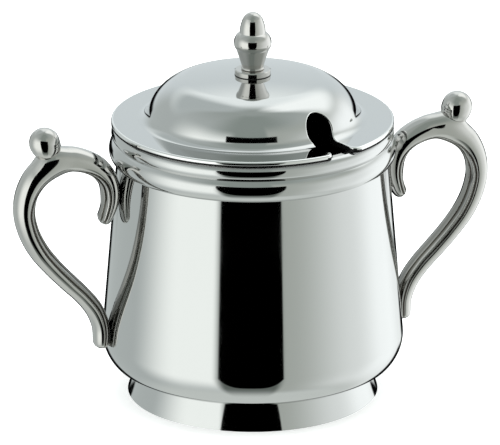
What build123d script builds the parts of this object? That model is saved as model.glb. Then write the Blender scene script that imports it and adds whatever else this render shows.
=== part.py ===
from build123d import *
import math
import os

# A two-handled sugar pot with a lift-off domed lid, in polished stainless steel.
# Sizes are in millimetres. The origin is the centre of the foot's resting face.
# +Z is up and +X points at the right handle.

# Bowl, a spun shell: straight wall, round shoulder, tighter turn, sloping underside.
# The lid's seat is the bowl's lip.
SEAT_Z = 89.9
MOUTH_R = 42.4
BODY_R = 48.4
SHOULDER_RADIUS = 12.15
SHOULDER_Z = 19.6
SHOULDER_END_DEG = 36.5
TURN_RADIUS = 5.85
UNDERSIDE_DEG = 70.0
UNDERSIDE_DROP = 2.7
BOWL_WALL = 1.0

# Rim moulding, a ring with two rounded beads, measured out from the bowl's lip and
# down from the seat
UPPER_BEAD_OUT = 2.6
UPPER_BEAD_RADIUS = 2.85
GROOVE_OUT = 1.76
GROOVE_DROP = 4.69
LOWER_BEAD_OUT = 3.4
LOWER_BEAD_RADIUS = 4.55
MOULDING_HEIGHT = 11.6

# Foot ring, measured in from the bowl's widest radius
FOOT_SETBACK = 9.8
FOOT_FLARE = 1.7
FOOT_HOLLOW = 0.25
FOOT_WALL = 1.2

# Lid, a pressed dome with a flat brim that lines up with the upper bead. Heights are
# above the seat.
BRIM_INNER_RISE = 1.8
BRIM_OUTER_RISE = 1.7
BRIM_EDGE_RADIUS = 0.7
COVE_RADIUS = 3.9
DOME_WALL_INSET = 10.9
DOME_SHOULDER_RADIUS = 15.2
DOME_HEIGHT = 16.2
CROWN_RISE = 1.3
LID_WALL = 1.0

# Spoon slot: a round hole in the dome wall that opens into a cut through the brim
SLOT_DEG = -65.5
SLOT_WIDTH = 8.3
SLOT_HOLE_RADIUS = 5.0
SLOT_HOLE_RISE = 5.6
SLOT_MOUTH_RADIUS = 2.5

# Locating ring under the brim, which centres the lid in the mouth
RING_CLEARANCE = 0.6
RING_WALL = 0.8
RING_DEPTH = 5.0

# Knob, stacked up from the crown of the dome
KNOB_BASE_R = 5.75
KNOB_BASE_HEIGHT = 1.7
KNOB_BASE_BEVEL = 0.3
KNOB_NECK_R = 3.4
KNOB_NECK_BULGE = 0.3
KNOB_NECK_HEIGHT = 0.8
KNOB_CUP_R = 5.2
KNOB_CUP_HEIGHT = 5.8
KNOB_BEAD_R = 5.95
KNOB_BEAD_HEIGHT = 5.5
KNOB_TIP_R = 4.1
KNOB_TIP_MIDDLE_R = 3.82
KNOB_TIP_CAP_R = 2.95
KNOB_TIP_HEIGHT = 6.6
KNOB_CAP_HEIGHT = 1.75

# Screw and washer that hold the knob from inside the lid
SCREW_R = 1.95
SCREW_LENGTH = 9.0
SCREW_HEAD_R = 3.6
SCREW_HEAD_HEIGHT = 2.2
SCREW_HEAD_FILLET = 0.7
SCREW_SLOT = 1.0
SCREW_TIP_SPACE = 1.0
THREAD_CLEARANCE = 0.05
HOLE_CLEARANCE = 0.3
WASHER_R = 5.0
WASHER_THICKNESS = 0.8

# Handles: stations along the cast bar from the hook's tip to the foot of the S.
# Each station is distance out from the bowl's wall, drop below the seat, depth of the
# bar in the handle's plane, and half its thickness across the plane.
HANDLE_STATIONS = [
    (5.4, 28.9, 2.4, 2.2),
    (4.35, 27.55, 4.1, 3.6),
    (3.2, 24.35, 5.0, 4.3),
    (2.85, 19.7, 6.1, 4.6),
    (4.15, 14.65, 6.4, 4.7),
    (7.55, 10.45, 6.8, 4.8),
    (12.5, 7.75, 7.4, 4.8),
    (18.0, 6.7, 8.2, 4.8),
    (23.35, 8.3, 8.5, 4.8),
    (27.75, 11.85, 7.9, 4.8),
    (30.25, 16.8, 7.2, 4.8),
    (30.8, 22.3, 6.9, 4.8),
    (29.05, 29.2, 6.7, 4.8),
    (25.2, 36.2, 6.5, 4.8),
    (20.0, 42.45, 6.1, 4.7),
    (14.5, 48.0, 5.9, 4.7),
    (9.1, 53.25, 5.7, 4.6),
    (5.0, 58.4, 5.8, 4.5),
    (2.65, 63.9, 5.5, 4.2),
    (2.1, 69.1, 5.0, 3.6),
    (2.0, 71.2, 3.0, 2.2),
]
BALL_RADIUS = 4.87
BALL_OUT = 25.75
BALL_DROP = 0.6

# Points of the bar's section as shares of half its depth (out) and half its
# thickness (across): a broad outer bead, a groove, a narrow bead, a groove and
# a flat inner bead.
SECTION_BEAD = [(1, 0), (0.68, 0.71), (-0.08, 1), (-0.20, 0.98), (-0.29, 0.90)]
SECTION_REED = [(-0.47, 0.88), (-0.65, 0.68)]
SECTION_FLAT = [(-0.82, 0.60), (-0.94, 0.38)]
SECTION_BACK = (-1.0, 0.0)

# Radii and heights that several pieces share
BRIM_R = MOUTH_R + UPPER_BEAD_OUT
SHOULDER_R = BODY_R - SHOULDER_RADIUS
DOME_WALL_R = BRIM_R - DOME_WALL_INSET
DOME_SHOULDER_R = DOME_WALL_R - DOME_SHOULDER_RADIUS
DOME_TOP_Z = SEAT_Z + DOME_HEIGHT
DOME_SHOULDER_Z = DOME_TOP_Z - CROWN_RISE - DOME_SHOULDER_RADIUS
FROM_BASE = (Align.CENTER, Align.CENTER, Align.MIN)


def arc(centre, radius, start_deg, end_deg):
    """Arc of a circle between two angles, given by three points on it."""
    def at(degrees):
        angle = math.radians(degrees)
        return (centre[0] + radius * math.cos(angle), centre[1] + radius * math.sin(angle))

    return ThreePointArc(at(start_deg), at((start_deg + end_deg) / 2), at(end_deg))


def chain(*edges):
    """Close a list of edges into a face with one more straight line."""
    start = edges[0] @ 0
    end = edges[-1] @ 1
    return make_face([*edges, Line(end, start)])


def lathe(face):
    """Turn a face drawn as radius and height once round the pot's axis."""
    return revolve(Plane.XZ * face, Axis.Z, 360)


def circle_r(centre_r, centre_z, radius, z):
    """Outer radius of a round bead at a height."""
    return centre_r + math.sqrt(radius**2 - (z - centre_z) ** 2)


def wall_taper():
    """Angle of the wall from upright, in degrees: tangent from mouth to shoulder."""
    out = MOUTH_R - SHOULDER_R
    up = SEAT_Z - SHOULDER_Z
    reach = math.hypot(out, up)
    return math.degrees(math.atan2(up, out) - math.acos(SHOULDER_RADIUS / reach))


def wall_r(z):
    """Outer radius of the bowl's straight wall at a height."""
    return MOUTH_R + (SEAT_Z - z) * math.tan(math.radians(wall_taper()))


def turn_centre():
    """Centre of the tighter turn below the shoulder, as radius and height."""
    step = SHOULDER_RADIUS - TURN_RADIUS
    angle = math.radians(SHOULDER_END_DEG)
    return SHOULDER_R + step * math.cos(angle), SHOULDER_Z - step * math.sin(angle)


def underside_start():
    """Where the turn ends and the sloping underside begins, as radius and height."""
    angle = math.radians(UNDERSIDE_DEG)
    centre_r, centre_z = turn_centre()
    return centre_r + TURN_RADIUS * math.cos(angle), centre_z - TURN_RADIUS * math.sin(angle)


def underside_z(r):
    """Height of the bowl's sloping underside at a radius."""
    start_r, start_z = underside_start()
    return start_z - (start_r - r) / math.tan(math.radians(UNDERSIDE_DEG))


def floor_z(inset):
    """Height of the bowl's flat floor, moved up by the inset."""
    return underside_start()[1] - UNDERSIDE_DROP + inset


def bowl_outline(inset):
    """Bowl profile from mouth to axis and up to the seat, moved inwards by the inset."""
    taper = wall_taper()
    shoulder = arc((SHOULDER_R, SHOULDER_Z), SHOULDER_RADIUS - inset, taper, -SHOULDER_END_DEG)
    lip_r = MOUTH_R - inset / math.cos(math.radians(taper))
    wall = Line((lip_r, SEAT_Z), shoulder @ 0)
    turn = arc(turn_centre(), TURN_RADIUS - inset, -SHOULDER_END_DEG, -UNDERSIDE_DEG)
    start = turn @ 1
    bottom = floor_z(inset)
    floor_r = start.X - (start.Y - bottom) * math.tan(math.radians(UNDERSIDE_DEG))
    slope = Line(start, (floor_r, bottom))
    floor = Line((floor_r, bottom), (0, bottom))
    return [wall, shoulder, turn, slope, floor, Line((0, bottom), (0, SEAT_Z))]


def bowl_solid():
    """The bowl filled in, used to seat other pieces against its outside."""
    return lathe(chain(*bowl_outline(0)))


def make_bowl():
    return bowl_solid() - lathe(chain(*bowl_outline(BOWL_WALL)))


def make_rim_moulding():
    groove = (MOUTH_R + GROOVE_OUT, SEAT_Z - GROOVE_DROP)
    bottom_z = SEAT_Z - MOULDING_HEIGHT
    upper_r = BRIM_R - UPPER_BEAD_RADIUS
    upper_z = groove[1] + math.sqrt(UPPER_BEAD_RADIUS**2 - (groove[0] - upper_r) ** 2)
    lower_out = MOUTH_R + LOWER_BEAD_OUT
    lower_r = lower_out - LOWER_BEAD_RADIUS
    lower_z = groove[1] - math.sqrt(LOWER_BEAD_RADIUS**2 - (groove[0] - lower_r) ** 2)
    top = (circle_r(upper_r, upper_z, UPPER_BEAD_RADIUS, SEAT_Z), SEAT_Z)
    bottom = (circle_r(lower_r, lower_z, LOWER_BEAD_RADIUS, bottom_z), bottom_z)
    upper = ThreePointArc(top, (BRIM_R, upper_z), groove)
    lower = ThreePointArc(groove, (lower_out, lower_z), bottom)
    under = Line(bottom, (wall_r(bottom_z), bottom_z))
    back = Line(under @ 1, (MOUTH_R, SEAT_Z))
    return lathe(chain(upper, lower, under, back))


def foot_side(inset):
    """Hollow curve of the foot's side, from the floor to the bowl's underside."""
    top_r = BODY_R - FOOT_SETBACK - inset
    bottom = (top_r + FOOT_FLARE, 0)
    top = (top_r, underside_z(top_r))
    middle = ((bottom[0] + top[0]) / 2 - FOOT_HOLLOW, (bottom[1] + top[1]) / 2)
    return ThreePointArc(bottom, middle, top)


def make_foot_ring():
    outside = foot_side(0)
    inside = foot_side(FOOT_WALL)
    seat = Line(outside @ 1, inside @ 1)
    back = ThreePointArc(inside @ 1, inside @ 0.5, inside @ 0)
    return lathe(chain(outside, seat, back))


def handle_point(out, drop):
    """Point in the handle's plane, measured from the bowl's wall and its seat."""
    z = SEAT_Z - drop
    return (wall_r(z) + out, 0, z)


def handle_section(station, ahead):
    """Bar section at a station, in the plane square to the way towards ahead."""
    depth, half_thickness = station[2:]
    along = Vector(ahead[0], 0, ahead[1]).normalized()
    outward = Vector(-along.Z, 0, along.X)
    plane = Plane(origin=handle_point(*station[:2]), x_dir=outward, z_dir=along)

    def at(point, side=1):
        return (point[0] * depth / 2, side * point[1] * half_thickness)

    def half(side):
        tip, mid, crown, lip, valley = [at(p, side) for p in SECTION_BEAD]
        reed_top, reed_end = [at(p, side) for p in SECTION_REED]
        flat_top, flat_end = [at(p, side) for p in SECTION_FLAT]
        return [
            ThreePointArc(tip, mid, crown),
            ThreePointArc(crown, lip, valley),
            ThreePointArc(valley, reed_top, reed_end),
            ThreePointArc(reed_end, flat_top, flat_end),
        ]

    front = half(1)
    back = half(-1)
    inner = ThreePointArc(front[-1] @ 1, at(SECTION_BACK), back[-1] @ 1)
    return plane * make_face([*front, inner, *back])


def handle_bar():
    """The scroll and S-shaped bar as one lofted casting."""
    sections = []
    last = len(HANDLE_STATIONS) - 1
    for index, station in enumerate(HANDLE_STATIONS):
        before = handle_point(*HANDLE_STATIONS[max(index - 1, 0)][:2])
        after = handle_point(*HANDLE_STATIONS[min(index + 1, last)][:2])
        ahead = (after[0] - before[0], after[2] - before[2])
        sections.append(handle_section(station, ahead))
    return loft(sections)


def make_handle(side):
    """Right handle for side 1; the left one, side -1, is its mirror image."""
    ball = Pos(handle_point(BALL_OUT, BALL_DROP)) * Sphere(BALL_RADIUS)
    handle = handle_bar() + ball - bowl_solid()
    if side < 0:
        handle = mirror(handle, about=Plane.YZ)
    return handle


def crown_radius():
    """Radius of the dome's shallow crown, tangent to its shoulder."""
    rise = DOME_TOP_Z - DOME_SHOULDER_Z
    return (DOME_SHOULDER_R**2 + rise**2 - DOME_SHOULDER_RADIUS**2) / (2 * CROWN_RISE)


def dome_arcs(inset, start_deg):
    """Dome shoulder from a start angle, and crown up to the axis."""
    crown = crown_radius()
    crown_z = DOME_TOP_Z - crown
    meet_deg = math.degrees(math.atan2(DOME_SHOULDER_Z - crown_z, DOME_SHOULDER_R))
    centre = (DOME_SHOULDER_R, DOME_SHOULDER_Z)
    shoulder = arc(centre, DOME_SHOULDER_RADIUS - inset, start_deg, meet_deg)
    return [shoulder, arc((0, crown_z), crown - inset, meet_deg, 90)]


def lid_top():
    """Outer profile of the lid: dome arcs from the cove up, then cove, brim and edge."""
    cove_z = SEAT_Z + BRIM_INNER_RISE + COVE_RADIUS
    reach = DOME_SHOULDER_RADIUS + COVE_RADIUS
    meet = math.asin((cove_z - DOME_SHOULDER_Z) / reach)
    meet_deg = math.degrees(meet)
    cove_centre = (DOME_SHOULDER_R + reach * math.cos(meet), cove_z)
    cove = arc(cove_centre, COVE_RADIUS, 180 + meet_deg, 270)
    edge_r = BRIM_R - BRIM_EDGE_RADIUS
    edge_z = SEAT_Z + BRIM_OUTER_RISE - BRIM_EDGE_RADIUS
    edge = arc((edge_r, edge_z), BRIM_EDGE_RADIUS, 90, 0)
    return [*dome_arcs(0, meet_deg), cove, Line(cove @ 1, edge @ 0), edge]


def lid_solid():
    """The lid filled in down to its seat, used to seat the knob on its crown."""
    shoulder, crown, cove, brim, edge = lid_top()
    axis = Line((0, SEAT_Z), (0, DOME_TOP_Z))
    return lathe(chain(axis, crown, shoulder, cove, brim, edge, Line(edge @ 1, (BRIM_R, SEAT_Z))))


def slot_outline():
    """Plan of the cut through the brim, along +X, with rounded corners at its mouth."""
    half = SLOT_WIDTH / 2
    flare = half + SLOT_MOUTH_RADIUS
    flare_r = math.sqrt(BRIM_R**2 - flare**2) - SLOT_MOUTH_RADIUS
    outside = BRIM_R + SLOT_MOUTH_RADIUS
    left = arc((flare_r, flare), SLOT_MOUTH_RADIUS, -90, 0)
    right = arc((flare_r, -flare), SLOT_MOUTH_RADIUS, 0, 90)
    return chain(
        Line((DOME_SHOULDER_R, half), (flare_r, half)),
        left,
        Line(left @ 1, (outside, flare)),
        Line((outside, flare), (outside, -flare)),
        Line((outside, -flare), right @ 0),
        right,
        Line((flare_r, -half), (DOME_SHOULDER_R, -half)),
    )


def slot_cutter():
    """What the spoon slot removes from the lid and the locating ring."""
    hole_z = SEAT_Z + SLOT_HOLE_RISE
    bottom = SEAT_Z - 2 * RING_DEPTH
    cut = Pos(0, 0, bottom) * extrude(slot_outline(), hole_z - bottom)
    start = Plane(origin=(DOME_SHOULDER_R, 0, hole_z), z_dir=(1, 0, 0))
    reach = BRIM_R - DOME_SHOULDER_R
    hole = start * Cylinder(SLOT_HOLE_RADIUS, reach, align=FROM_BASE)
    return Rot(0, 0, SLOT_DEG) * (cut + hole)


def make_lid():
    inner_radius = DOME_SHOULDER_RADIUS - LID_WALL
    seat_deg = math.degrees(math.asin((SEAT_Z - DOME_SHOULDER_Z) / inner_radius))
    shoulder, crown = dome_arcs(LID_WALL, seat_deg)
    hollow = lathe(chain(Line((0, SEAT_Z), shoulder @ 0), shoulder, crown))
    screw_hole = Pos(0, 0, SEAT_Z) * Cylinder(SCREW_R + HOLE_CLEARANCE, 3 * DOME_HEIGHT)
    return lid_solid() - hollow - screw_hole - slot_cutter()


def make_locating_ring():
    mouth = MOUTH_R - BOWL_WALL / math.cos(math.radians(wall_taper()))
    outer = mouth - RING_CLEARANCE
    ring = Cylinder(outer, RING_DEPTH) - Cylinder(outer - RING_WALL, RING_DEPTH)
    return Pos(0, 0, SEAT_Z - RING_DEPTH / 2) * ring - slot_cutter()


def knob_outline():
    """Turned outline of base disc, neck, cup, bead and rounded tip."""
    base_z = DOME_TOP_Z + KNOB_BASE_HEIGHT
    neck_z = base_z + KNOB_NECK_HEIGHT
    cup_z = neck_z + KNOB_CUP_HEIGHT
    tip_z = cup_z + KNOB_BEAD_HEIGHT
    top_z = tip_z + KNOB_TIP_HEIGHT
    cap_z = top_z - KNOB_CAP_HEIGHT
    side = Line((KNOB_BASE_R, SEAT_Z), (KNOB_BASE_R, base_z - KNOB_BASE_BEVEL))
    bevel = Line(side @ 1, (KNOB_BASE_R - KNOB_BASE_BEVEL, base_z))
    disc = Line(bevel @ 1, (KNOB_NECK_R, base_z))
    bulge = (KNOB_NECK_R + KNOB_NECK_BULGE, (base_z + neck_z) / 2)
    neck = ThreePointArc(disc @ 1, bulge, (KNOB_NECK_R, neck_z))
    cup = Line(neck @ 1, (KNOB_CUP_R, cup_z))
    bead = ThreePointArc(cup @ 1, (KNOB_BEAD_R, (cup_z + tip_z) / 2), (KNOB_TIP_R, tip_z))
    middle = (KNOB_TIP_MIDDLE_R, (tip_z + cap_z) / 2)
    tip = ThreePointArc(bead @ 1, middle, (KNOB_TIP_CAP_R, cap_z))
    cap_radius = (KNOB_TIP_CAP_R**2 + KNOB_CAP_HEIGHT**2) / (2 * KNOB_CAP_HEIGHT)
    start_deg = math.degrees(math.acos(KNOB_TIP_CAP_R / cap_radius))
    cap = arc((0, top_z - cap_radius), cap_radius, start_deg, 90)
    return chain(side, bevel, disc, neck, cup, bead, tip, cap, Line(cap @ 1, (0, SEAT_Z)))


def washer_top():
    """Height where the washer's rim meets the inside of the dome's crown."""
    crown = crown_radius()
    return DOME_TOP_Z - crown + math.sqrt((crown - LID_WALL) ** 2 - WASHER_R**2)


def screw_end():
    """Height of the screw's end inside the knob."""
    return washer_top() - WASHER_THICKNESS + SCREW_LENGTH


def make_knob():
    """Knob with a blind threaded hole, seated on the crown."""
    depth = screw_end() + SCREW_TIP_SPACE - SEAT_Z
    hole = Pos(0, 0, SEAT_Z) * Cylinder(SCREW_R + THREAD_CLEARANCE, depth, align=FROM_BASE)
    return lathe(knob_outline()) - lid_solid() - hole


def make_washer():
    disc = Cylinder(WASHER_R, WASHER_THICKNESS) - Cylinder(SCREW_R + HOLE_CLEARANCE, WASHER_THICKNESS)
    return Pos(0, 0, washer_top() - WASHER_THICKNESS / 2) * disc


def make_screw():
    """Slotted pan-head screw, its head under the washer."""
    under_head = washer_top() - WASHER_THICKNESS
    head = Pos(0, 0, under_head - SCREW_HEAD_HEIGHT / 2) * Cylinder(SCREW_HEAD_R, SCREW_HEAD_HEIGHT)
    head = fillet(head.faces().sort_by(Axis.Z)[0].edges(), SCREW_HEAD_FILLET)
    shank = Pos(0, 0, under_head) * Cylinder(SCREW_R, SCREW_LENGTH, align=FROM_BASE)
    slot_z = under_head - SCREW_HEAD_HEIGHT
    slot = Pos(0, 0, slot_z) * Box(3 * SCREW_HEAD_R, SCREW_SLOT, SCREW_HEAD_HEIGHT)
    return head + shank - slot


def main():
    os.makedirs("parts", exist_ok=True)
    nodes = {
        "bowl": make_bowl(),
        "rim_moulding": make_rim_moulding(),
        "foot_ring": make_foot_ring(),
        "handle_right": make_handle(1),
        "handle_left": make_handle(-1),
        "lid": make_lid(),
        "lid_locating_ring": make_locating_ring(),
        "lid_knob": make_knob(),
        "knob_washer": make_washer(),
        "knob_screw": make_screw(),
    }
    for name, shape in nodes.items():
        export_step(shape, f"parts/{name}.step")


main()
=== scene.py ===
import math

import bmesh
import bpy
import numpy as np
from mathutils import Matrix, Vector
from mathutils.bvhtree import BVHTree


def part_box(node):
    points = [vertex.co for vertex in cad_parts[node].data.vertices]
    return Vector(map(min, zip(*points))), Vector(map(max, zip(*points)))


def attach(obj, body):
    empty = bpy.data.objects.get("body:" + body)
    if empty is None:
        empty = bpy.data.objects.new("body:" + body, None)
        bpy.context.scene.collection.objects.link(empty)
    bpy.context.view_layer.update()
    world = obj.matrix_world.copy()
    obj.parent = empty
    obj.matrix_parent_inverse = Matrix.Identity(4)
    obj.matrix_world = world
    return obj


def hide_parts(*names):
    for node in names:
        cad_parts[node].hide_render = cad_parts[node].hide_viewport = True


# A two-handled sugar pot in mirror-polished steel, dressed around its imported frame.
# Lengths are in metres, in the pot's own frame: +Z up, +X towards the right handle.

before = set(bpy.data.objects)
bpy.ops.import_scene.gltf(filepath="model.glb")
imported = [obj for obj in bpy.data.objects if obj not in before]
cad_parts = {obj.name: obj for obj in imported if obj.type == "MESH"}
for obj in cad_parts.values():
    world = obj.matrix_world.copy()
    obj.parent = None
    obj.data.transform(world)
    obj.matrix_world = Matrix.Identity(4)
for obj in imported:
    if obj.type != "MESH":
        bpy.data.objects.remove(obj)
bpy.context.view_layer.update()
MM = 0.001

# Sizes read from the frame
SEAT_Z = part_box("bowl")[1].z
BODY_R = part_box("bowl")[1].x
BRIM_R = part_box("lid")[1].x
DOME_TOP_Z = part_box("lid")[1].z
FOOT_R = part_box("foot_ring")[1].x

# Bowl
MOUTH_R = BRIM_R - 2.6 * MM
BOWL_WALL = 1.0 * MM
SHOULDER_RADIUS = 12.15 * MM
SHOULDER_R = BODY_R - SHOULDER_RADIUS
SHOULDER_Z = SEAT_Z - 70.3 * MM
SHOULDER_END_DEG = 36.5
TURN_RADIUS = 5.85 * MM
UNDERSIDE_DEG = 70.0
UNDERSIDE_DROP = 2.7 * MM

# Rim moulding
UPPER_BEAD_RADIUS = 2.85 * MM
UPPER_BEAD_Z = SEAT_Z - 2.67 * MM
LOWER_BEAD_RADIUS = 4.55 * MM
LOWER_BEAD_R = MOUTH_R + 3.4 * MM
LOWER_BEAD_Z = SEAT_Z - 8.18 * MM
GROOVE_R = MOUTH_R + 1.76 * MM
GROOVE_Z = SEAT_Z - 4.69 * MM
MOULDING_BOTTOM_Z = SEAT_Z - 11.6 * MM

# Foot ring
FOOT_FLARE = 1.7 * MM
FOOT_HOLLOW = 0.25 * MM
FOOT_WALL = 1.2 * MM

# Lid
LID_WALL = 1.0 * MM
BRIM_INNER_Z = SEAT_Z + 1.8 * MM
BRIM_OUTER_Z = SEAT_Z + 1.7 * MM
BRIM_EDGE_RADIUS = 0.7 * MM
COVE_RADIUS = 3.9 * MM
DOME_SHOULDER_RADIUS = 15.2 * MM
DOME_SHOULDER_R = BRIM_R - 10.9 * MM - DOME_SHOULDER_RADIUS
CROWN_RISE = 1.3 * MM
DOME_SHOULDER_Z = DOME_TOP_Z - CROWN_RISE - DOME_SHOULDER_RADIUS
CROWN_REACH = DOME_SHOULDER_RADIUS + CROWN_RISE
CROWN_RADIUS = (DOME_SHOULDER_R**2 + CROWN_REACH**2 - DOME_SHOULDER_RADIUS**2) / (2 * CROWN_RISE)
BRIM_FLAT_R = BRIM_R - BRIM_EDGE_RADIUS
UNDER_EDGE_RADIUS = 0.3 * MM
SHADOW_GAP = 0.45 * MM
SHADOW_GAP_DEPTH = 0.5 * MM
LID_COLUMNS = 300
ROWS_ABOVE_BRIM = 0.3 * MM
ROWS_ABOVE_SEAT = 1.0 * MM
KNOB_BASE_R = 5.75 * MM
SEAM_CLEARANCE = 0.02 * MM
SEAM_HEIGHT = 0.24 * MM

# Spoon slot
SLOT_TURN = math.radians(-65.5)
SLOT_HALF = 4.15 * MM
SLOT_HOLE_RADIUS = 5.0 * MM
SLOT_HOLE_Z = SEAT_Z + 5.6 * MM
SLOT_MOUTH_RADIUS = 2.5 * MM
MOUTH_CORNER = (math.sqrt(BRIM_R**2 - (SLOT_HALF + SLOT_MOUTH_RADIUS) ** 2) - SLOT_MOUTH_RADIUS,
                SLOT_HALF + SLOT_MOUTH_RADIUS)
SLOT_CORNER_DEG = math.degrees(math.atan2(MOUTH_CORNER[1], MOUTH_CORNER[0]))
NECK_Z = SLOT_HOLE_Z - math.sqrt(SLOT_HOLE_RADIUS**2 - SLOT_HALF**2)
SLOT_CROWDING = 0.8
HOLE_END_DEG = 128
HOLE_STEP_DEG = 4
EDGE_ROUND = 0.45 * MM
EDGE_STEP_DEG = 10
WALL_LIFT_RUN = 2.0 * MM

# Handles: out from the bowl's wall, drop below the seat, depth, half thickness,
# and how far the outer and the inner groove lie from the bar's inner edge, in mm
HANDLE_STATIONS = [
    (5.4, 28.9, 3.8, 3.0, 1.9, 0.9),
    (4.35, 27.55, 4.5, 3.8, 1.9, 0.75),
    (3.2, 24.35, 5.0, 4.3, 1.8, 0.55),
    (2.85, 19.7, 6.1, 4.6, 2.3, 0.95),
    (4.15, 14.65, 6.4, 4.7, 2.1, 0.85),
    (7.55, 10.45, 6.8, 4.8, 1.6, 0.55),
    (12.5, 7.75, 7.4, 4.8, 1.1, 0.4),
    (18.0, 6.7, 8.2, 4.8, 0.9, 0.4),
    (23.35, 8.3, 8.5, 4.8, 0.9, 0.4),
    (27.75, 11.85, 7.9, 4.8, 1.2, 0.4),
    (30.25, 16.8, 7.2, 4.8, 1.6, 0.45),
    (30.8, 22.3, 6.9, 4.8, 2.0, 0.7),
    (29.05, 29.2, 6.7, 4.8, 2.0, 0.65),
    (25.2, 36.2, 6.5, 4.8, 2.0, 0.65),
    (20.0, 42.45, 6.1, 4.7, 1.8, 0.55),
    (14.5, 48.0, 5.9, 4.7, 1.7, 0.5),
    (9.1, 53.25, 5.7, 4.6, 1.6, 0.5),
    (5.0, 58.4, 5.8, 4.5, 1.8, 0.65),
    (2.65, 63.9, 5.5, 4.2, 2.0, 0.9),
    (2.1, 69.1, 5.0, 3.8, 1.9, 0.9),
    (2.0, 71.2, 4.4, 3.2, 1.7, 0.8),
]
BALL_RADIUS = 4.87 * MM
BALL_OUT = 25.75 * MM
BALL_DROP = 0.6 * MM
BAR_STEP = 0.4 * MM
END_ROUND = 1.8 * MM
MIN_CAP = 0.0004
GROOVE_REACH = 0.45 * MM
INNER_REACH_SHARE = 0.75
OUTER_REACH_SHARE = 0.4
DIP_SHARE = 0.6
OUTER_GROOVE_CUT = 0.6 * MM
INNER_GROOVE_CUT = 0.9 * MM
# How dark the painted shade is in the outer and inner grooves and on the bar's inner face
OUTER_GROOVE_SHADE = 0.92
INNER_GROOVE_SHADE = 0.95
INNER_FACE_SHADE = 0.56
INNER_FACE_SHARE = 0.5
RIDGE_SHARE = 0.46
INNER_POWER = 2.4
FILLET_REACH = 3.0 * MM
FRONT_FILLET_REACH = 7.0 * MM
FILLET_HEIGHT_SHARE = 0.25

# Finish of the steel
SMEAR_SCALE = 60
SMEAR_DETAIL = 6
SMEAR_RANGE = (0.35, 0.65)
GRAIN_SCALE = 2500
GRAIN_DETAIL = 2
GRAIN_DEPTH = 0.02 * MM
CAST_COLOR = (0.59, 0.58, 0.56)
# Colour painted into the handles' grooves and inner face as shade
GROOVE_SHADE_COLOR = (0.085, 0.075, 0.055)

# Camera, from the photograph's perspective
PHOTO_SIZE = (500, 445)
CAMERA_DISTANCE = 1.85
CAMERA_ELEVATION_DEG = 19.67
CAMERA_AZIMUTH_DEG = -15.90
CAMERA_FOCAL_PX = 5772.0
SENSOR_MM = 36.0
AIM_Z = 45 * MM
AIM_PX = (252.69, 255.30)


# Meshes

ON_AXIS = 1e-9
KEY_SCALE = 1e8


def arc_strip(centre, radius, start_deg, end_deg, step_deg=3.0):
    """Points of an arc, with the surface's normals on the outside of the way along it."""
    count = max(2, int(math.ceil(abs(end_deg - start_deg) / step_deg)))
    turning = math.copysign(1.0, start_deg - end_deg)
    points = []
    for angle in np.radians(np.linspace(start_deg, end_deg, count + 1)):
        out = (math.cos(angle), math.sin(angle))
        point = (centre[0] + radius * out[0], centre[1] + radius * out[1])
        points.append((point, (turning * out[0], turning * out[1])))
    return points


def line_strip(start, end, count=6):
    """Points of a straight stretch, with its normal on the left of the way along it."""
    run = (end[0] - start[0], end[1] - start[1])
    length = math.hypot(*run)
    normal = (-run[1] / length, run[0] / length)
    return [((start[0] + run[0] * t, start[1] + run[1] * t), normal)
            for t in np.linspace(0, 1, count + 1)]


def make_object(name, vertices, faces, material):
    mesh = bpy.data.meshes.new(name)
    mesh.from_pydata(vertices, [], faces)
    mesh.materials.append(material)
    mesh.polygons.foreach_set("use_smooth", [True] * len(mesh.polygons))
    mesh.update()
    piece = bpy.data.objects.new(name, mesh)
    bpy.context.scene.collection.objects.link(piece)
    return piece


def lathe(name, strips, material, segments=256):
    """Turn strips of profile points once round the axis, with exact normals."""
    vertices, faces, normals = [], [], []
    rows = {}

    def row(point):
        key = (round(point[0] * KEY_SCALE), round(point[1] * KEY_SCALE))
        if key not in rows:
            first = len(vertices)
            if point[0] < ON_AXIS:
                vertices.append((0, 0, point[1]))
                rows[key] = [first] * segments
            else:
                for k in range(segments):
                    a = 2 * math.pi * k / segments
                    vertices.append((point[0] * math.cos(a), point[0] * math.sin(a), point[1]))
                rows[key] = list(range(first, first + segments))
        return rows[key]

    def turned(normal, k):
        a = 2 * math.pi * k / segments
        return (normal[0] * math.cos(a), normal[0] * math.sin(a), normal[1])

    for strip in strips:
        for (p0, n0), (p1, n1) in zip(strip, strip[1:]):
            upper, lower = row(p0), row(p1)
            for k in range(segments):
                j = (k + 1) % segments
                corners = [(upper[k], n0, k), (lower[k], n1, k),
                           (lower[j], n1, k + 1), (upper[j], n0, k + 1)]
                if p0[0] < ON_AXIS:
                    corners = [(upper[k], n0, k + 0.5), *corners[1:3]]
                elif p1[0] < ON_AXIS:
                    corners = [corners[0], (lower[k], n1, k + 0.5), corners[3]]
                faces.append([c[0] for c in corners])
                normals.extend(turned(c[1], c[2]) for c in corners)
    piece = make_object(name, vertices, faces, material)
    piece.data.normals_split_custom_set(normals)
    return piece


# Materials

def new_material(name):
    material = bpy.data.materials.new(name)
    material.use_nodes = True
    return material, material.node_tree.nodes, material.node_tree.links


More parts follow.
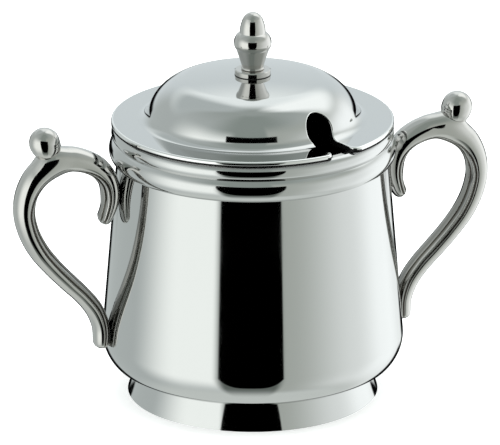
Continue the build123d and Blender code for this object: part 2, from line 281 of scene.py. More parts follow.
def polished_steel(name, color=(0.62, 0.625, 0.62), rough=(0.03, 0.07), grain=0.02):
    """Mirror-polished steel: faint smears in the roughness and a very fine grain."""
    material, nodes, links = new_material(name)
    shader = nodes["Principled BSDF"]
    shader.inputs["Metallic"].default_value = 1.0
    shader.inputs["Base Color"].default_value = (*color, 1)
    where = nodes.new("ShaderNodeTexCoord")
    smear = nodes.new("ShaderNodeTexNoise")
    smear.inputs["Scale"].default_value = SMEAR_SCALE
    smear.inputs["Detail"].default_value = SMEAR_DETAIL
    links.new(where.outputs["Object"], smear.inputs["Vector"])
    polish = nodes.new("ShaderNodeMapRange")
    polish.inputs["From Min"].default_value = SMEAR_RANGE[0]
    polish.inputs["From Max"].default_value = SMEAR_RANGE[1]
    polish.inputs["To Min"].default_value = rough[0]
    polish.inputs["To Max"].default_value = rough[1]
    links.new(smear.outputs["Fac"], polish.inputs["Value"])
    links.new(polish.outputs["Result"], shader.inputs["Roughness"])
    fine = nodes.new("ShaderNodeTexNoise")
    fine.inputs["Scale"].default_value = GRAIN_SCALE
    fine.inputs["Detail"].default_value = GRAIN_DETAIL
    links.new(where.outputs["Object"], fine.inputs["Vector"])
    bump = nodes.new("ShaderNodeBump")
    bump.inputs["Strength"].default_value = grain
    bump.inputs["Distance"].default_value = GRAIN_DEPTH
    links.new(fine.outputs["Fac"], bump.inputs["Height"])
    links.new(bump.outputs["Normal"], shader.inputs["Normal"])
    return material


def add_painted_groove_shade(material, unshaded, dark):
    """Painted shade: base colour darkened in the grooves and on the bar's inner face, where the
    mesh carries it.
    """
    nodes, links = material.node_tree.nodes, material.node_tree.links
    shader = nodes["Principled BSDF"]
    left = nodes.new("ShaderNodeAttribute")
    left.attribute_name = "painted_shade"
    blend = nodes.new("ShaderNodeMix")
    blend.data_type = "RGBA"
    blend.inputs["A"].default_value = (*unshaded, 1)
    blend.inputs["B"].default_value = (*dark, 1)
    links.new(left.outputs["Fac"], blend.inputs["Factor"])
    links.new(blend.outputs["Result"], shader.inputs["Base Color"])


SHEET_STEEL = polished_steel("sheet_steel")
# Steel brighter than the rest on the brim's rounded edge and round the slot: a painted highlight
EDGE_HIGHLIGHT_STEEL = polished_steel("edge_highlight_steel", color=(0.88, 0.88, 0.87))
CAST_STEEL = polished_steel("cast_steel", color=CAST_COLOR, rough=(0.05, 0.10), grain=0.04)
# The handles' steel is darkened towards painted shade in its grooves and on its inner face
add_painted_groove_shade(CAST_STEEL, CAST_COLOR, GROOVE_SHADE_COLOR)
# Near-black steel painted as shade: in the recess under the brim, on the slot's wall and at the
# knob's seam
SHADOW_STEEL = polished_steel("shadow_steel", color=(0.05, 0.05, 0.05), rough=(0.4, 0.5),
                              grain=0.1)
DARK_STEEL = polished_steel("inner_steel", color=(0.5, 0.5, 0.5), rough=(0.2, 0.35), grain=0.1)


# Bowl, moulding and foot

def wall_taper_deg():
    """Lean of the wall that runs from the mouth to touch the shoulder's arc."""
    out = MOUTH_R - SHOULDER_R
    up = SEAT_Z - SHOULDER_Z
    return math.degrees(math.atan2(up, out) - math.acos(SHOULDER_RADIUS / math.hypot(out, up)))


WALL_TAPER_DEG = wall_taper_deg()


def wall_r(z):
    return MOUTH_R + (SEAT_Z - z) * math.tan(math.radians(WALL_TAPER_DEG))


def turn_centre():
    """Centre of the tighter arc that follows on from the shoulder's arc."""
    step = SHOULDER_RADIUS - TURN_RADIUS
    angle = math.radians(SHOULDER_END_DEG)
    return SHOULDER_R + step * math.cos(angle), SHOULDER_Z - step * math.sin(angle)


def underside_start():
    """Where the tighter arc ends and the sloping underside begins."""
    angle = math.radians(UNDERSIDE_DEG)
    r, z = turn_centre()
    return r + TURN_RADIUS * math.cos(angle), z - TURN_RADIUS * math.sin(angle)


def underside_z(r):
    start_r, start_z = underside_start()
    return start_z - (start_r - r) / math.tan(math.radians(UNDERSIDE_DEG))


def bowl_strips(inset):
    """Bowl profile going down the outside; the inside uses it reversed."""
    shoulder = arc_strip((SHOULDER_R, SHOULDER_Z), SHOULDER_RADIUS - inset,
                         WALL_TAPER_DEG, -SHOULDER_END_DEG, 1.5)
    turn = arc_strip(turn_centre(), TURN_RADIUS - inset, -SHOULDER_END_DEG, -UNDERSIDE_DEG, 1.5)
    lip_r = MOUTH_R - inset / math.cos(math.radians(WALL_TAPER_DEG))
    wall = line_strip((lip_r, SEAT_Z), shoulder[0][0], 24)
    bottom_z = underside_start()[1] - UNDERSIDE_DROP + inset
    start = turn[-1][0]
    floor_r = start[0] - (start[1] - bottom_z) * math.tan(math.radians(UNDERSIDE_DEG))
    slope = line_strip(start, (floor_r, bottom_z), 4)
    floor = line_strip((floor_r, bottom_z), (0, bottom_z), 6)
    return [wall, shoulder, turn, slope, floor]


def reversed_strips(strips):
    """The same strips walked the other way, facing the other side."""
    return [[(p, (-n[0], -n[1])) for p, n in reversed(strip)] for strip in reversed(strips)]


def make_bowl():
    outside = bowl_strips(0)
    inside = reversed_strips(bowl_strips(BOWL_WALL))
    lip = line_strip(inside[-1][-1][0], outside[0][0][0], 1)
    return lathe("bowl_shell", [*inside, lip, *outside], SHEET_STEEL)


def angle_deg(centre, point):
    return math.degrees(math.atan2(point[1] - centre[1], point[0] - centre[0]))


def make_moulding():
    upper = (BRIM_R - UPPER_BEAD_RADIUS, UPPER_BEAD_Z)
    lower = (LOWER_BEAD_R - LOWER_BEAD_RADIUS, LOWER_BEAD_Z)
    top_deg = math.degrees(math.asin((SEAT_Z - upper[1]) / UPPER_BEAD_RADIUS))
    bottom_deg = math.degrees(math.asin((MOULDING_BOTTOM_Z - lower[1]) / LOWER_BEAD_RADIUS))
    groove = (GROOVE_R, GROOVE_Z)
    bead = arc_strip(upper, UPPER_BEAD_RADIUS, top_deg, angle_deg(upper, groove), 2)
    swell = arc_strip(lower, LOWER_BEAD_RADIUS, angle_deg(lower, groove), bottom_deg, 2)
    top = line_strip((MOUTH_R, SEAT_Z), bead[0][0], 2)
    under = line_strip(swell[-1][0], (wall_r(MOULDING_BOTTOM_Z), MOULDING_BOTTOM_Z), 2)
    return lathe("beaded_rim", [top, bead, swell, under], SHEET_STEEL)


def foot_strips():
    top_r = FOOT_R - FOOT_FLARE
    top = (top_r, underside_z(top_r))
    bottom = (FOOT_R, 0)
    chord = math.hypot(top[0] - bottom[0], top[1] - bottom[1])
    radius = (chord**2 / 4 + FOOT_HOLLOW**2) / (2 * FOOT_HOLLOW)
    middle = ((top[0] + bottom[0]) / 2, (top[1] + bottom[1]) / 2)
    out = (top[1] / chord, FOOT_FLARE / chord)
    reach = radius - FOOT_HOLLOW
    centre = (middle[0] + out[0] * reach, middle[1] + out[1] * reach)
    start, end = angle_deg(centre, top), angle_deg(centre, bottom)
    side = arc_strip(centre, radius, start % 360, end % 360, 0.2)
    inner_top = (top_r - FOOT_WALL, underside_z(top_r - FOOT_WALL))
    inner_bottom = (FOOT_R - FOOT_WALL, 0)
    under = line_strip(bottom, inner_bottom, 1)
    inner = line_strip(inner_bottom, inner_top, 6)
    return [side, under, inner]


def make_foot():
    return lathe("foot_band", foot_strips(), SHEET_STEEL)


# Lid

def crown_meet_deg():
    """Angle at which the crown's arc runs into the dome's shoulder."""
    return math.degrees(math.atan2(CROWN_RADIUS - CROWN_REACH, DOME_SHOULDER_R))


def slot_half(z, grow):
    """Half width of the round hole and of the neck under it, at a height."""
    rise = z - SLOT_HOLE_Z
    radius = SLOT_HOLE_RADIUS + grow
    neck = SLOT_HALF + grow
    if abs(rise) >= radius:
        return 0.0 if rise > 0 else neck
    half = math.sqrt(radius**2 - rise**2)
    return neck if rise < 0 and half < neck else half


def mouth_point(grow, deg):
    """Point on the rounded corner where the slot runs out through the brim's edge."""
    radius = SLOT_MOUTH_RADIUS - grow
    angle = math.radians(deg)
    return MOUTH_CORNER[0] + radius * math.sin(angle), MOUTH_CORNER[1] - radius * math.cos(angle)


def hole_rows(grow, until_z):
    """Heights down the slot's hole, close together at its top."""
    heights = []
    for deg in range(0, HOLE_END_DEG, HOLE_STEP_DEG):
        z = SLOT_HOLE_Z + (SLOT_HOLE_RADIUS + grow) * math.cos(math.radians(deg))
        if z > until_z:
            heights.append(z)
    return heights


def dome_deg(z, radius):
    """Angle of the point at that height on an arc round the dome shoulder's centre."""
    return math.degrees(math.asin((z - DOME_SHOULDER_Z) / radius))


def arc_points(centre, radius, degs, hollow=False):
    """Profile points with outside normals; a hollow arc faces its own centre."""
    side = -1.0 if hollow else 1.0
    points = []
    for deg in degs:
        out = (math.cos(math.radians(deg)), math.sin(math.radians(deg)))
        point = (centre[0] + radius * out[0], centre[1] + radius * out[1])
        points.append((point, (side * out[0], side * out[1])))
    return points


def lid_cove():
    """Centre of the cove, and the angle at which it leaves the dome's shoulder."""
    cove_z = BRIM_INNER_Z + COVE_RADIUS
    reach = DOME_SHOULDER_RADIUS + COVE_RADIUS
    join = math.asin((cove_z - DOME_SHOULDER_Z) / reach)
    return (DOME_SHOULDER_R + reach * math.cos(join), cove_z), math.degrees(join)


def lid_rows():
    """Rows of the lid's outside as (r, z, normal, half width of the slot there)."""
    meet = crown_meet_deg()
    cove_centre, join_deg = lid_cove()
    shoulder_centre = (DOME_SHOULDER_R, DOME_SHOULDER_Z)
    join_z = DOME_SHOULDER_Z + DOME_SHOULDER_RADIUS * math.sin(math.radians(join_deg))
    holes = hole_rows(EDGE_ROUND, BRIM_INNER_Z + ROWS_ABOVE_BRIM)
    top_deg = dome_deg(holes[0], DOME_SHOULDER_RADIUS)
    rows = arc_points((0, DOME_TOP_Z - CROWN_RADIUS), CROWN_RADIUS, np.linspace(90, meet, 18)[:-1])
    rows += arc_points(shoulder_centre, DOME_SHOULDER_RADIUS, np.linspace(meet, top_deg, 18)[:-1])
    on_dome = [dome_deg(z, DOME_SHOULDER_RADIUS) for z in holes if z > join_z]
    rows += arc_points(shoulder_centre, DOME_SHOULDER_RADIUS, on_dome)
    in_cove = [180 + math.degrees(math.asin((cove_centre[1] - z) / COVE_RADIUS))
               for z in holes if z <= join_z]
    in_cove = [180 + join_deg, *in_cove]
    in_cove += list(np.linspace(in_cove[-1], 270, 12)[1:])
    rows += arc_points(cove_centre, COVE_RADIUS, in_cove, hollow=True)
    rows = [(r, z, n, slot_half(z, EDGE_ROUND)) for (r, z), n in rows]

    brim_run = (BRIM_FLAT_R - cove_centre[0], BRIM_OUTER_Z - BRIM_INNER_Z)
    length = math.hypot(*brim_run)
    brim_normal = (-brim_run[1] / length, brim_run[0] / length)

    def brim_row(r, half):
        z = BRIM_INNER_Z + (r - cove_centre[0]) / brim_run[0] * brim_run[1]
        return (r, z, brim_normal, half)

    half = SLOT_HALF + EDGE_ROUND
    corner_start = math.hypot(MOUTH_CORNER[0], half)
    rows += [brim_row(r, half) for r in np.linspace(cove_centre[0], corner_start, 10)]
    corner_turn = 90 + SLOT_CORNER_DEG
    for deg in np.linspace(2, corner_turn, 22):
        share = deg / corner_turn
        x, y = mouth_point(EDGE_ROUND + (BRIM_EDGE_RADIUS - EDGE_ROUND) * share, deg)
        rows.append(brim_row(math.hypot(x, y), y))
    return rows


def gap_grid(name, rows, columns, material):
    """Surface turned round the axis with the slot's gap left open, with exact normals."""
    vertices, faces, normals = [], [], []
    for r, z, normal, half in rows:
        open_angle = math.asin(min(half / r, 1)) if r > ON_AXIS else 0.0
        for k in range(columns + 1):
            turn = SLOT_TURN + open_angle + (2 * math.pi - 2 * open_angle) * crowded(k / columns)
            vertices.append((r * math.cos(turn), r * math.sin(turn), z))
            normals.append((normal[0] * math.cos(turn), normal[0] * math.sin(turn), normal[1]))
    for i in range(len(rows) - 1):
        for k in range(columns):
            a = i * (columns + 1) + k
            b = a + columns + 1
            faces.append((a, b, b + 1, a + 1))
    piece = make_object(name, vertices, faces, material)
    piece.data.normals_split_custom_set_from_vertices(normals)
    return piece


def crowded(t):
    """Even steps round the lid, drawn closer together beside the slot."""
    return t - SLOT_CROWDING * math.sin(2 * math.pi * t) / (2 * math.pi)


def slot_path():
    """Points round the slot on the lid's outside, as (x, y, z, profile normal, r)."""
    side = [(math.sqrt(max(r * r - half * half, 0)), half, z, normal, r)
            for r, z, normal, half in lid_rows() if half > 0 and r > DOME_SHOULDER_R]
    top_z = SLOT_HOLE_Z + SLOT_HOLE_RADIUS + EDGE_ROUND
    top = math.radians(dome_deg(top_z, DOME_SHOULDER_RADIUS))
    top_r = DOME_SHOULDER_R + DOME_SHOULDER_RADIUS * math.cos(top)
    first = (top_r, 0.0, top_z, (math.cos(top), math.sin(top)), top_r)
    return [*reversed([(x, -y, z, n, r) for x, y, z, n, r in side]), first, *side]


def out_of_mouth(r, run):
    """0 where the slot's mouth begins to widen, growing to 1 over that run."""
    return min(max((r - MOUTH_CORNER[0]) / run, 0), 1)


def slot_columns():
    """Columns of points across the slot's rounded edge, and down the wall under it."""
    points = slot_path()
    places = [Vector(point[:3]) for point in points]
    rim, wall = [], []
    for i, (x, y, z, n, r) in enumerate(points):
        before = places[max(i - 1, 0)]
        after = places[min(i + 1, len(places) - 1)]
        along = (after - before).normalized()
        up = Vector((n[0] * x / r, n[0] * y / r, n[1]))
        inward = along.cross(up).normalized()
        if i in (0, len(points) - 1):
            corner = Vector((MOUTH_CORNER[0], math.copysign(MOUTH_CORNER[1], y), 0))
            inward = (Vector((x, y, 0)) - corner).normalized()
        widening = out_of_mouth(r, BRIM_FLAT_R - MOUTH_CORNER[0])
        rounding = float(EDGE_ROUND + (BRIM_EDGE_RADIUS - EDGE_ROUND) * widening)
        centre = places[i] - up * rounding
        column = []
        for deg in range(0, 91, EDGE_STEP_DEG):
            a = math.radians(deg)
            column.append((centre + rounding * (math.cos(a) * up + math.sin(a) * inward),
                           math.cos(a) * up + math.sin(a) * inward))
        edge = column[-1][0]
        if z > NECK_Z:
            foot = edge - up * (LID_WALL - rounding)
        else:
            foot = Vector((edge.x, edge.y, SEAT_Z + SHADOW_GAP * out_of_mouth(r, WALL_LIFT_RUN)))
        rim.append(column)
        wall.append([(edge, inward), (foot, inward)])
    return rim, wall


def column_mesh(name, columns, material):
    turn = Matrix.Rotation(SLOT_TURN, 3, "Z")
    vertices = [tuple(turn @ p) for column in columns for p, n in column]
    normals = [tuple(turn @ n) for column in columns for p, n in column]
    deep = len(columns[0])
    faces = []
    for i in range(len(columns) - 1):
        for k in range(deep - 1):
            a = i * deep + k
            faces.append((a, a + 1, a + deep + 1, a + deep))
    piece = make_object(name, vertices, faces, material)
    piece.data.normals_split_custom_set_from_vertices(normals)
    return piece


def lid_edge_rows():
    """The brim's rounded edge and side, all round but for the slot's mouth."""
    centre = (BRIM_FLAT_R, BRIM_OUTER_Z - BRIM_EDGE_RADIUS)
    rows = arc_points(centre, BRIM_EDGE_RADIUS, np.linspace(90, 0, 10))
    under = (BRIM_R - UNDER_EDGE_RADIUS, SEAT_Z + SHADOW_GAP + UNDER_EDGE_RADIUS)
    rows += arc_points(under, UNDER_EDGE_RADIUS, np.linspace(0, -90, 7))
    rows.append(((under[0] - SHADOW_GAP_DEPTH, SEAT_Z + SHADOW_GAP), (0.0, -1.0)))
    return [(r, z, n, r * math.sin(math.radians(SLOT_CORNER_DEG))) for (r, z), n in rows]


def shadow_gap_rows():
    """The recess under the brim's edge, painted near-black as shade."""
    r = BRIM_R - UNDER_EDGE_RADIUS - SHADOW_GAP_DEPTH
    half = r * math.sin(math.radians(SLOT_CORNER_DEG))
    return [(r, SEAT_Z + SHADOW_GAP, (1.0, 0.0), half), (r, SEAT_Z, (1.0, 0.0), half)]


def lid_inside_rows():
    """Rows of the lid's underside, from the brim's edge up the inside of the dome."""
    inner = DOME_SHOULDER_RADIUS - LID_WALL
    seat_deg = dome_deg(SEAT_Z, inner)
    heights = [*hole_rows(0, SEAT_Z + ROWS_ABOVE_SEAT), SEAT_Z + ROWS_ABOVE_SEAT / 2, SEAT_Z]
    shoulder_centre = (DOME_SHOULDER_R, DOME_SHOULDER_Z)
    crown_centre = (0, DOME_TOP_Z - CROWN_RADIUS)
    meet = crown_meet_deg()
    dome = [dome_deg(z, inner) for z in sorted(heights)]
    rows = arc_points(shoulder_centre, inner, dome)
    rows += arc_points(shoulder_centre, inner, np.linspace(dome[-1], meet, 12)[1:])
    rows += arc_points(crown_centre, CROWN_RADIUS - LID_WALL, np.linspace(meet, 90, 10)[1:])
    rows = [(r, z, (-n[0], -n[1]), slot_half(z, 0)) for (r, z), n in rows]
    seat_r = DOME_SHOULDER_R + inner * math.cos(math.radians(seat_deg))
    flat = [(r, SEAT_Z, (0.0, -1.0), SLOT_HALF) for r in np.linspace(MOUTH_CORNER[0], seat_r, 4)]
    lip = []
    for deg in np.linspace(90 + SLOT_CORNER_DEG, 8, 10):
        x, y = mouth_point(0, deg)
        lip.append((min(math.hypot(x, y), BRIM_R), SEAT_Z, (0.0, -1.0), y))
    return [*lip, *flat, *rows]


def knob_seam():
    """Near-black ring painted as the shade in the crevice where the knob's disc stands on the
    crown.
    """
    r = KNOB_BASE_R + SEAM_CLEARANCE
    crown_z = DOME_TOP_Z - r * r / (2 * CROWN_RADIUS)
    return lathe("knob_seam", [line_strip((r, crown_z), (r, crown_z + SEAM_HEIGHT))], SHADOW_STEEL)


def make_lid():
    rim, wall = slot_columns()
    return [
        gap_grid("lid_shell", lid_rows(), LID_COLUMNS, SHEET_STEEL),
        gap_grid("lid_edge", lid_edge_rows(), LID_COLUMNS, EDGE_HIGHLIGHT_STEEL),
        # The recess under the brim, the slot's wall and the knob's seam are painted near-black as
        # shade
        gap_grid("shadow_gap", shadow_gap_rows(), LID_COLUMNS, SHADOW_STEEL),
        column_mesh("slot_rim", rim, EDGE_HIGHLIGHT_STEEL),
        column_mesh("slot_wall", wall, SHADOW_STEEL),
        knob_seam(),
        gap_grid("lid_inside", lid_inside_rows(), LID_COLUMNS, DARK_STEEL),
    ]


# Handles

def handle_path():
    """Handle stations as (r, z, depth, half thickness, outer groove, inner groove)."""
    stations = []
    for out, drop, *section in HANDLE_STATIONS:
        z = SEAT_Z - drop * MM
        stations.append((wall_r(z) + out * MM, z, *[size * MM for size in section]))
    return np.array(stations)


def smooth_path(stations, step):
    """Samples of a smooth curve through the stations, evenly spaced along it."""
    gaps = np.hypot(*np.diff(stations[:, :2], axis=0).T)
    at = np.concatenate([[0], np.cumsum(gaps)])
    slopes = np.gradient(stations, at, axis=0)
    samples = []
    for s in np.linspace(0, at[-1], int(at[-1] / step)):
        i = min(np.searchsorted(at, s, side="right") - 1, len(at) - 2)
        width = at[i + 1] - at[i]
        t = (s - at[i]) / width
        samples.append((2 * t**3 - 3 * t**2 + 1) * stations[i]
                       + (t**3 - 2 * t**2 + t) * width * slopes[i]
                       + (3 * t**2 - 2 * t**3) * stations[i + 1]
                       + (t**3 - t**2) * width * slopes[i + 1])
    return np.array(samples)


def half_section(depth, half, outer_groove, inner_groove):
    """Half outline of the bar, from inner edge to outer one: places, thicknesses, and painted
    shade.
    """
    inner_reach = min(GROOVE_REACH, INNER_REACH_SHARE * inner_groove)
    outer_reach = min(GROOVE_REACH, OUTER_REACH_SHARE * (outer_groove - inner_groove))
    before_inner = inner_groove - inner_reach
    before_outer = outer_groove - outer_reach
    after_outer = outer_groove + outer_reach
    ridge = RIDGE_SHARE * depth
    places = np.concatenate([
        before_inner * (1 - np.cos(np.linspace(0, math.pi / 2, 10)))[:-1],
        np.linspace(before_inner, inner_groove + inner_reach, 11)[:-1],
        np.linspace(inner_groove + inner_reach, before_outer, 5)[:-1],
        np.linspace(before_outer, after_outer, 11)[:-1],
        after_outer + (depth - after_outer) * np.sin(np.linspace(0, math.pi / 2, 28)),
    ])
    outside = np.clip((places - ridge) / (depth - ridge), 0, 1)
    inside = np.clip((ridge - places) / ridge, 0, 1)
    thickness = half * np.sqrt(1 - outside**2) * np.sqrt(1 - inside**INNER_POWER)
    # Painted shade on the inner face, which faces the hole, and in each groove below
    painted_shade = INNER_FACE_SHADE * np.exp(-(places / (INNER_FACE_SHARE * inner_groove)) ** 2)
    for groove, reach, cut, left in ((outer_groove, outer_reach, OUTER_GROOVE_CUT, OUTER_GROOVE_SHADE),
                                     (inner_groove, inner_reach, INNER_GROOVE_CUT, INNER_GROOVE_SHADE)):
        dip = np.exp(-((places - groove) / (DIP_SHARE * reach)) ** 2)
        thickness -= cut * (reach / GROOVE_REACH) * dip
        painted_shade = np.maximum(painted_shade, left * dip)
    return places, np.maximum(thickness, 0), painted_shade


def make_bar(name, material):
    """The fluted bar of the right handle, from its hooked tip to its lower end."""
    path = smooth_path(handle_path(), BAR_STEP)
    ahead = np.gradient(path[:, :2], axis=0)
    ahead /= np.hypot(*ahead.T)[:, None]
    run = np.concatenate([[0], np.cumsum(np.hypot(*np.diff(path[:, :2], axis=0).T))])
    vertices, painted_shades = [], []
    for i, (r, z, depth, half, outer_groove, inner_groove) in enumerate(path):
        near = min(run[i], run[-1] - run[i])
        cap = math.sqrt(max(1 - max(1 - near / END_ROUND, 0) ** 2, MIN_CAP))
        front = list(zip(*half_section(depth, half, outer_groove, inner_groove)))
        back = [(place, -thick, left) for place, thick, left in front[-2:0:-1]]
        outward = (-ahead[i][1], ahead[i][0])
        for place, thick, left in front + back:
            reach = (place - depth / 2) * cap
            vertices.append((r + outward[0] * reach, thick * cap, z + outward[1] * reach))
            painted_shades.append(left)
    faces = []
    around = len(vertices) // len(path)
    for i in range(len(path) - 1):
        for k in range(around):
            a = i * around + k
            b = i * around + (k + 1) % around
            faces.append((a, b, b + around, a + around))
    faces.append(tuple(range(around - 1, -1, -1)))
    last = (len(path) - 1) * around
    faces.append(tuple(range(last, last + around)))
    piece = make_object(name, vertices, faces, material)
    # Per-vertex painted shade for the material
    layer = piece.data.attributes.new("painted_shade", "FLOAT", "POINT")
    layer.data.foreach_set("value", painted_shades)
    return piece


def make_ball(name, material):
    mesh = bpy.data.meshes.new(name)
    shape = bmesh.new()
    bmesh.ops.create_icosphere(shape, subdivisions=6, radius=BALL_RADIUS)
    z = SEAT_Z - BALL_DROP
    bmesh.ops.translate(shape, verts=shape.verts, vec=(wall_r(z) + BALL_OUT, 0, z))
    shape.to_mesh(mesh)
    shape.free()
    mesh.materials.append(material)
    mesh.polygons.foreach_set("use_smooth", [True] * len(mesh.polygons))
    # No painted shade on the ball
    layer = mesh.attributes.new("painted_shade", "FLOAT", "POINT")
    layer.data.foreach_set("value", [0.0] * len(mesh.vertices))
    piece = bpy.data.objects.new(name, mesh)
    bpy.context.scene.collection.objects.link(piece)
    return piece


def swell_towards(piece, other):
    """Fillet a surface where it runs into another one: raise it the nearer it comes."""
    points = [vertex.co for vertex in other.data.vertices]
    tree = BVHTree.FromPolygons(points, [tuple(face.vertices) for face in other.data.polygons])
    moved = []
    for vertex in piece.data.vertices:
        place = vertex.co.copy()
        distance = tree.find_nearest(place, FRONT_FILLET_REACH)[3]
        if distance is not None:
            reach = FILLET_REACH + (FRONT_FILLET_REACH - FILLET_REACH) * abs(vertex.normal.y)
            away = min(distance / reach, 1)
            place += vertex.normal * (reach * FILLET_HEIGHT_SHARE) * (1 - away) ** 2
        moved.append(place)
    return moved


def make_handle(side, word):
    bar = make_bar("handle_bar_" + word, CAST_STEEL)
    ball = make_ball("handle_ball_" + word, CAST_STEEL)
    bar_places = swell_towards(bar, ball)
    ball_places = swell_towards(ball, bar)
    for piece, places in ((bar, bar_places), (ball, ball_places)):
        for vertex, place in zip(piece.data.vertices, places):
            vertex.co = (side * place.x, place.y, place.z)
        if side < 0:
            piece.data.flip_normals()
        piece.data.update()
    return bar, ball


def replace(piece, node, body):
    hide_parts(node)
    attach(piece, body)


replace(make_bowl(), "bowl", "pot")
replace(make_moulding(), "rim_moulding", "pot")
replace(make_foot(), "foot_ring", "pot")
for piece in make_lid():
    replace(piece, "lid", "lid")
for side, word in ((1, "right"), (-1, "left")):
    for piece in make_handle(side, word):
        replace(piece, "handle_" + word, "pot")
shown_solids = {"lid_knob": CAST_STEEL, "lid_locating_ring": DARK_STEEL, "knob_washer": DARK_STEEL,
                "knob_screw": DARK_STEEL}
for node, steel in shown_solids.items():
    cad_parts[node].data.materials.clear()
    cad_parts[node].data.materials.append(steel)


# Studio

STEEL_MIRROR = 0.62
FLOOR_SIZE = 3.0
FLOOR_GLOW = 0.55
LAMP_SIZE = 1.2
LAMP_HEIGHT = 1.4
LAMP_POWER = 12


def node_math(tree, operation, *values):
    node = tree.nodes.new("ShaderNodeMath")
    node.operation = operation
    for socket, value in zip(node.inputs, values):
        if isinstance(value, (int, float)):
            socket.default_value = value
        else:
            tree.links.new(value, socket)
    return node.outputs["Value"]


def ramp(tree, value, low, high):
    """0 below low and 1 above high, smoothly between; reversed where low is above high."""
    node = tree.nodes.new("ShaderNodeMapRange")
    node.interpolation_type = "SMOOTHSTEP"
    node.inputs["From Min"].default_value = min(low, high)
    node.inputs["From Max"].default_value = max(low, high)
    if low > high:
        node.inputs["To Min"].default_value = 1
        node.inputs["To Max"].default_value = 0
    tree.links.new(value, node.inputs["Value"])
    return node.outputs["Result"]


def window(tree, value, low, high):
    """A soft-edged window: low and high are (outside, inside) pairs in degrees."""
    return node_math(tree, "MULTIPLY", ramp(tree, value, *low), ramp(tree, value, *high))


def steel_light(shown):
    """Light that polished steel shows as those sRGB values."""
    light = []
    for value in shown:
        share = value / 255
        linear = share / 12.92 if share < 0.04045 else ((share + 0.055) / 1.055) ** 2.4
        light.append(linear / STEEL_MIRROR)
    return (*light, 1)


# Soft panels round the pot: (name, both sides, azimuth from, azimuth to, elevation from,
# elevation to, shown value), each limit as (where it begins, where it is full) in degrees;
# a later panel covers an earlier one. Azimuth 0 points from the pot to the camera and grows
# to the camera's right; a panel on both sides has the same azimuths to the left.
NO_LOW = (-999, -998)
NO_HIGH = (999, 998)
AMBIENT = (162, 168, 167)
PANELS = [
    ("floor", False, NO_LOW, NO_HIGH, NO_LOW, (-40, -62), (183, 188, 185)),
    ("overhead", False, NO_LOW, NO_HIGH, (30, 84), NO_HIGH, (142, 149, 146)),
    ("front", False, (-70, -20), (90, 20), (14, 30), (88, 78), (128, 136, 132)),
    ("right_near", False, (14, 20), NO_HIGH, (-60, -44), (60, 30), (156, 161, 156)),
    ("right_rise", False, (24, 92), NO_HIGH, (-66, -34), (40, 6), (210, 214, 213)),
    ("right_bank", False, (84, 118), (160, 128), (-56, -20), (40, 4), (238, 242, 242)),
    ("left_box", False, (-106, -60), (-18, -30), (-60, -16), (44, 8), (234, 238, 235)),
    ("back_low", True, (135, 165), NO_HIGH, (-14, 0), (40, 24), (188, 195, 197)),
    ("back_high", True, (100, 165), NO_HIGH, (22, 36), (82, 58), (221, 227, 227)),
    ("back_left", False, (-172, -150), (-96, -126), (24, 40), (86, 66), (164, 171, 171)),
    ("back_right", False, (96, 126), (172, 150), (24, 40), (86, 66), (240, 244, 243)),
    ("back_flag", True, (156, 161), NO_HIGH, (-60, -45), (-6, -11), (4, 5, 5)),
    ("side_flags", True, (143, 147), (175, 171), (-17, -15), (1, -4), (4, 5, 5)),
    ("low_flag", True, (149, 155), NO_HIGH, (-70, -55), (-20, -24), (12, 13, 13)),
    ("gap_fade", False, (-32, -22), (26, 18), (-74, -38), (24, 22), (86, 92, 88)),
]

# The dark gap between the front panels, seen as a band down the bowl
GAP_CENTRE = -1.3
GAP_HALF = 25.5
GAP_LEVEL = -9.0
GAP_SPREAD = 0.004
GAP_TOP = 28.5
GAP_BOTTOM = -39.0
GAP_ROUNDING = 4
GAP_SOFTNESS = 0.02
GAP_TOP_SOFTNESS = 0.7


def gap_mask(tree, azimuth, elevation):
    """1 inside the gap, which widens upwards to a straight top and has a rounded foot."""
    above = node_math(tree, "SUBTRACT", elevation, GAP_LEVEL)
    half = node_math(tree, "MULTIPLY_ADD", above, GAP_SPREAD * GAP_HALF, GAP_HALF)
    across = node_math(tree, "ABSOLUTE", node_math(tree, "SUBTRACT", azimuth, GAP_CENTRE))
    across = node_math(tree, "DIVIDE", across, half)
    below = node_math(tree, "SUBTRACT", GAP_TOP, elevation)
    below = node_math(tree, "MAXIMUM", node_math(tree, "DIVIDE", below, GAP_TOP - GAP_BOTTOM), 0)
    total = node_math(tree, "ADD", node_math(tree, "POWER", across, GAP_ROUNDING),
                      node_math(tree, "POWER", below, GAP_ROUNDING))
    reach = node_math(tree, "POWER", total, 1 / GAP_ROUNDING)
    inside = ramp(tree, reach, 1 + GAP_SOFTNESS, 1 - GAP_SOFTNESS)
    under = ramp(tree, elevation, GAP_TOP + GAP_TOP_SOFTNESS, GAP_TOP - GAP_TOP_SOFTNESS)
    return node_math(tree, "MULTIPLY", inside, under)


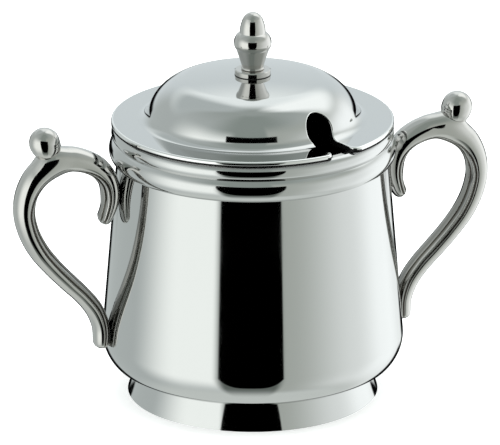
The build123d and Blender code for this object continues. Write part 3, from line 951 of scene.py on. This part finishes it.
def make_world():
    world = bpy.data.worlds.new("studio")
    bpy.context.scene.world = world
    world.use_nodes = True
    tree = world.node_tree
    tree.nodes.clear()
    where = tree.nodes.new("ShaderNodeTexCoord")
    turn = tree.nodes.new("ShaderNodeVectorRotate")
    turn.rotation_type = "Z_AXIS"
    turn.inputs["Angle"].default_value = -math.radians(CAMERA_AZIMUTH_DEG)
    tree.links.new(where.outputs["Generated"], turn.inputs["Vector"])
    axes = tree.nodes.new("ShaderNodeSeparateXYZ")
    tree.links.new(turn.outputs["Vector"], axes.inputs["Vector"])
    ahead = node_math(tree, "MULTIPLY", axes.outputs["Y"], -1)
    azimuth = node_math(tree, "ARCTAN2", axes.outputs["X"], ahead)
    azimuth = node_math(tree, "MULTIPLY", azimuth, 180 / math.pi)
    elevation = node_math(tree, "ARCSINE", axes.outputs["Z"])
    elevation = node_math(tree, "MULTIPLY", elevation, 180 / math.pi)
    behind = node_math(tree, "ABSOLUTE", azimuth)

    light = tree.nodes.new("ShaderNodeRGB").outputs[0]
    light.default_value = steel_light(AMBIENT)
    for name, both_sides, left, right, low, high, shown in PANELS:
        turned = window(tree, behind if both_sides else azimuth, left, right)
        mask = node_math(tree, "MULTIPLY", turned, window(tree, elevation, low, high))
        light = mix(tree, mask, light, steel_light(shown))
    light = mix(tree, gap_mask(tree, azimuth, elevation), light, steel_light((0, 0, 0)))

    sight = tree.nodes.new("ShaderNodeLightPath")
    final = mix(tree, sight.outputs["Is Camera Ray"], light, (1, 1, 1, 1))
    background = tree.nodes.new("ShaderNodeBackground")
    tree.links.new(final, background.inputs["Color"])
    output = tree.nodes.new("ShaderNodeOutputWorld")
    tree.links.new(background.outputs["Background"], output.inputs["Surface"])


def mix(tree, mask, color, other):
    node = tree.nodes.new("ShaderNodeMix")
    node.data_type = "RGBA"
    tree.links.new(mask, node.inputs["Factor"])
    tree.links.new(color, node.inputs["A"])
    node.inputs["B"].default_value = other
    return node.outputs["Result"]


def make_floor():
    mesh = bpy.data.meshes.new("floor")
    signs = ((-1, -1), (1, -1), (1, 1), (-1, 1))
    corners = [(x * FLOOR_SIZE, y * FLOOR_SIZE, 0) for x, y in signs]
    mesh.from_pydata(corners, [], [(0, 1, 2, 3)])
    floor = bpy.data.objects.new("floor", mesh)
    bpy.context.scene.collection.objects.link(floor)
    material, nodes, links = new_material("pale_floor")
    shader = nodes["Principled BSDF"]
    shader.inputs["Base Color"].default_value = (0.95, 0.95, 0.95, 1)
    shader.inputs["Roughness"].default_value = 0.9
    shader.inputs["Specular IOR Level"].default_value = 0.0
    shader.inputs["Emission Color"].default_value = (1, 1, 1, 1)
    shader.inputs["Emission Strength"].default_value = FLOOR_GLOW
    mesh.materials.append(material)
    floor.visible_glossy = False


def make_lamp():
    light = bpy.data.lights.new("top_softbox", "AREA")
    light.shape = "RECTANGLE"
    light.size = LAMP_SIZE
    light.size_y = LAMP_SIZE
    light.energy = LAMP_POWER
    lamp = bpy.data.objects.new("top_softbox", light)
    lamp.location = (0, 0, LAMP_HEIGHT)
    lamp.visible_glossy = False
    bpy.context.scene.collection.objects.link(lamp)


def make_camera():
    data = bpy.data.cameras.new("photo_camera")
    data.sensor_fit = "HORIZONTAL"
    data.sensor_width = SENSOR_MM
    data.lens = CAMERA_FOCAL_PX * SENSOR_MM / PHOTO_SIZE[0]
    data.clip_end = 20
    data.shift_x = (PHOTO_SIZE[0] / 2 - AIM_PX[0]) / PHOTO_SIZE[0]
    data.shift_y = (AIM_PX[1] - PHOTO_SIZE[1] / 2) / PHOTO_SIZE[0]
    camera = bpy.data.objects.new("photo_camera", data)
    bpy.context.scene.collection.objects.link(camera)
    azimuth = math.radians(CAMERA_AZIMUTH_DEG)
    elevation = math.radians(CAMERA_ELEVATION_DEG)
    back = Vector((math.sin(azimuth) * math.cos(elevation),
                   -math.cos(azimuth) * math.cos(elevation), math.sin(elevation)))
    camera.location = Vector((0, 0, AIM_Z)) + back * CAMERA_DISTANCE
    camera.rotation_euler = back.to_track_quat("Z", "Y").to_euler()
    bpy.context.scene.camera = camera


make_world()
make_floor()
make_lamp()
make_camera()
bpy.context.scene.view_settings.view_transform = "Standard"
